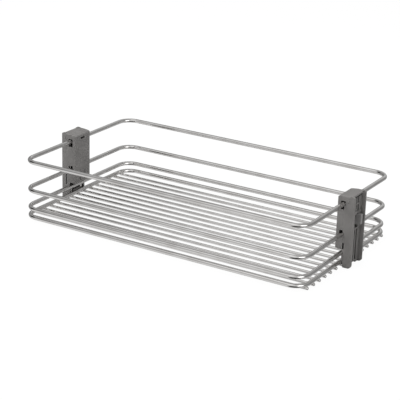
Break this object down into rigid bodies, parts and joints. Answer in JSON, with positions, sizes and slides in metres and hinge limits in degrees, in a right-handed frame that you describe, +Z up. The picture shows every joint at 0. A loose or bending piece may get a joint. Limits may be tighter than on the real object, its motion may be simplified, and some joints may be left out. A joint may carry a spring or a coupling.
{
  "type": "pull-out cabinet basket",
  "caption": "Chromed wire basket with rounded corners and a floor of parallel wires, held at both ends by grey plastic hanger brackets with spring catches.",
  "frame": {"origin": "centre of the footprint, on the surface that the two brackets' feet stand on", "axes": "+X along the basket from the left to the right bracket, +Y towards the basket's back, +Z up"},
  "size_m": [0.469, 0.254, 0.0993],
  "materials": {
    "rail_chrome": "bright chrome plating",
    "floor_chrome": "bright chrome plating",
    "upright_chrome": "bright chrome plating",
    "carrier_plastic": "fine satin grain",
    "cover_plastic": "fine satin grain",
    "catch_plastic": "smooth satin",
    "spring_steel": "drawn spring wire"
  },
  "bodies": {
    "basket": {"top_rail": "rail_chrome", "mid_rail": "rail_chrome", "lower_rail": "rail_chrome", "bottom_rail": "rail_chrome", "floor_wire_01": "floor_chrome", "floor_wire_02": "floor_chrome", "floor_wire_03": "floor_chrome", "floor_wire_04": "floor_chrome", "floor_wire_05": "floor_chrome", "floor_wire_06": "floor_chrome", "floor_wire_07": "floor_chrome", "floor_wire_08": "floor_chrome", "floor_wire_09": "floor_chrome", "floor_wire_10": "floor_chrome", "floor_wire_11": "floor_chrome", "floor_wire_12": "floor_chrome", "floor_wire_13": "floor_chrome", "floor_wire_14": "floor_chrome", "floor_wire_15": "floor_chrome", "right_front_upright": "upright_chrome", "right_back_upright": "upright_chrome", "left_front_upright": "upright_chrome", "left_back_upright": "upright_chrome", "right_carrier": "carrier_plastic", "right_cover": "cover_plastic", "right_catch_spring": "spring_steel", "left_carrier": "carrier_plastic", "left_cover": "cover_plastic", "left_catch_spring": "spring_steel"},
    "right_catch": {"right_catch": "catch_plastic"},
    "left_catch": {"left_catch": "catch_plastic"}
  },
  "joints": [
    {"name": "right_catch_slide", "type": "slide", "parent": "basket", "child": "right_catch", "axis": [-1, 0, 0], "range_m": [0, 0.006], "stiffness_N_per_m": 600, "springref_m": -0.004, "deforming": ["right_catch_spring"]},
    {"name": "left_catch_slide", "type": "slide", "parent": "basket", "child": "left_catch", "axis": [1, 0, 0], "range_m": [0, 0.006], "stiffness_N_per_m": 600, "springref_m": -0.004, "deforming": ["left_catch_spring"]}
  ]
}
